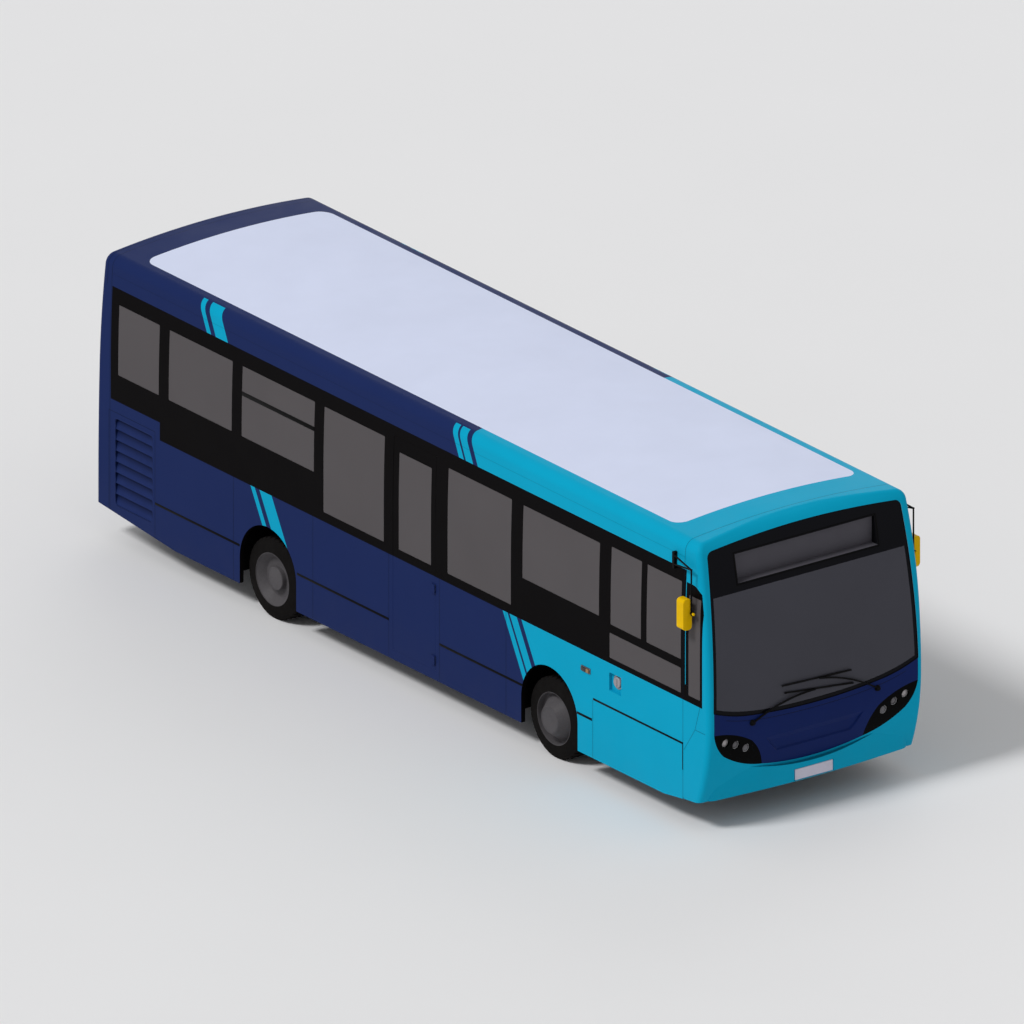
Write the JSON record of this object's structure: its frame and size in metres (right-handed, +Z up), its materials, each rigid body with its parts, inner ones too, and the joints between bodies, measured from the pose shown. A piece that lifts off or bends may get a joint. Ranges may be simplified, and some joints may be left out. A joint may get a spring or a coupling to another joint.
{
  "type": "single-deck city bus",
  "caption": "Single-deck low-floor city bus with hollow saloon, steered front axle, twin rear wheels, entrance and emergency doors and engine lid.",
  "frame": {"origin": "on the ground under the middle of the bounding box", "axes": "+Z up, -Y towards the front of the bus, -X towards the driver's (right-hand) side, +X towards the entrance (left-hand) side"},
  "size_m": [2.692, 9.322, 2.8519],
  "materials": {
    "body_blue": "gloss navy",
    "body_turquoise": "gloss turquoise",
    "glass": "tinted",
    "black_trim": "satin black",
    "lamp": "gloss black with clear lenses",
    "display": "satin dark grey",
    "floor_grey": "textured",
    "steel_dark": "chassis black",
    "engine_grey": "painted casting",
    "rim_grey": "satin grey",
    "tyre": "matt rubber",
    "seat_cloth": "moquette",
    "cab_grey": "grained",
    "rail_yellow": "gloss yellow",
    "mirror_yellow": "gloss yellow"
  },
  "bodies": {
    "root": {"chassis_rails": "steel_dark", "cross_members": "steel_dark", "destination_box": "display", "driver_cab": "cab_grey", "engine": "engine_grey", "floor_low": "floor_grey", "floor_rear": "floor_grey", "front_axle": "steel_dark", "front_bumper": "body_turquoise", "front_cap": "body_turquoise", "front_panel": "body_blue", "handrails": "rail_yellow", "lamps": "lamp", "mirror_arms": "black_trim", "mirror_heads": "mirror_yellow", "rear_axle": "steel_dark", "rear_bumper": "body_blue", "rear_cap": "body_blue", "roof": "body_blue", "saloon_glass": "glass", "seats": "seat_cloth", "side_grille": "body_blue", "side_left": "body_blue", "side_right": "body_blue", "towing_member": "steel_dark", "wheel_boxes": "floor_grey", "windscreen": "glass", "wipers": "black_trim"},
    "knuckle_right": {"knuckle_right": "steel_dark"},
    "knuckle_left": {"knuckle_left": "steel_dark"},
    "track_rod": {"track_rod": "steel_dark"},
    "front_wheel_right": {"front_wheel_right": "rim_grey", "front_tyre_right": "tyre"},
    "front_wheel_left": {"front_wheel_left": "rim_grey", "front_tyre_left": "tyre"},
    "rear_wheels_right": {"rear_wheels_right": "rim_grey", "rear_tyres_right": "tyre"},
    "rear_wheels_left": {"rear_wheels_left": "rim_grey", "rear_tyres_left": "tyre"},
    "emergency_door": {"emergency_door": "body_blue", "emergency_door_glass": "glass"},
    "engine_lid": {"engine_lid": "body_blue"},
    "front_door_arm": {"front_door_arm": "rail_yellow"},
    "front_door_leaf": {"front_door_leaf": "black_trim", "front_door_glass": "glass"},
    "rear_door_arm": {"rear_door_arm": "rail_yellow"},
    "rear_door_leaf": {"rear_door_leaf": "black_trim", "rear_door_glass": "glass"}
  },
  "joints": [
    {"name": "steer_left", "type": "hinge", "parent": "root", "child": "knuckle_left", "pos_m": [0.885, -2.217, 0.391], "axis": [0, 0, 1], "range_deg": [-38, 38]},
    {"name": "steer_right", "type": "hinge", "parent": "root", "child": "knuckle_right", "pos_m": [-0.885, -2.217, 0.391], "axis": [0, 0, 1], "range_deg": [-38, 38]},
    {"name": "track_rod_pivot", "type": "hinge", "parent": "knuckle_left", "child": "track_rod", "pos_m": [0.885, -1.967, 0.25], "axis": [0, 0, 1], "range_deg": [-38, 38]},
    {"name": "front_wheel_left_spin", "type": "hinge", "parent": "knuckle_left", "child": "front_wheel_left", "pos_m": [1.043, -2.217, 0.391], "axis": [1, 0, 0], "continuous": true},
    {"name": "front_wheel_right_spin", "type": "hinge", "parent": "knuckle_right", "child": "front_wheel_right", "pos_m": [-1.043, -2.217, 0.391], "axis": [1, 0, 0], "continuous": true},
    {"name": "rear_wheels_left_spin", "type": "hinge", "parent": "root", "child": "rear_wheels_left", "pos_m": [0.912, 2.047, 0.391], "axis": [1, 0, 0], "continuous": true},
    {"name": "rear_wheels_right_spin", "type": "hinge", "parent": "root", "child": "rear_wheels_right", "pos_m": [-0.912, 2.047, 0.391], "axis": [1, 0, 0], "continuous": true},
    {"name": "emergency_door_hinge", "type": "hinge", "parent": "root", "child": "emergency_door", "pos_m": [-1.232, -0.489, 1.4], "axis": [0, 0, 1], "range_deg": [0, 95]},
    {"name": "engine_lid_hinge", "type": "hinge", "parent": "root", "child": "engine_lid", "pos_m": [0, 4.654, 1.4], "axis": [1, 0, 0], "range_deg": [0, 80]},
    {"name": "front_door_shaft", "type": "hinge", "parent": "root", "child": "front_door_arm", "pos_m": [1.096, -4.195, 1.4], "axis": [0, 0, 1], "range_deg": [0, 88]},
    {"name": "front_door_pivot", "type": "hinge", "parent": "front_door_arm", "child": "front_door_leaf", "pos_m": [1.096, -3.8255, 1.4], "axis": [0, 0, 1], "range_deg": [-176, 0]},
    {"name": "rear_door_shaft", "type": "hinge", "parent": "root", "child": "rear_door_arm", "pos_m": [1.096, -2.845, 1.4], "axis": [0, 0, 1], "range_deg": [-88, 0]},
    {"name": "rear_door_pivot", "type": "hinge", "parent": "rear_door_arm", "child": "rear_door_leaf", "pos_m": [1.096, -3.2145, 1.4], "axis": [0, 0, 1], "range_deg": [0, 176]}
  ],
  "couplings": [
    {"joint": "steer_right", "follows": "steer_left", "ratio": 1},
    {"joint": "track_rod_pivot", "follows": "steer_left", "ratio": -1},
    {"joint": "front_door_pivot", "follows": "front_door_shaft", "ratio": -2},
    {"joint": "rear_door_pivot", "follows": "rear_door_shaft", "ratio": -2}
  ]
}
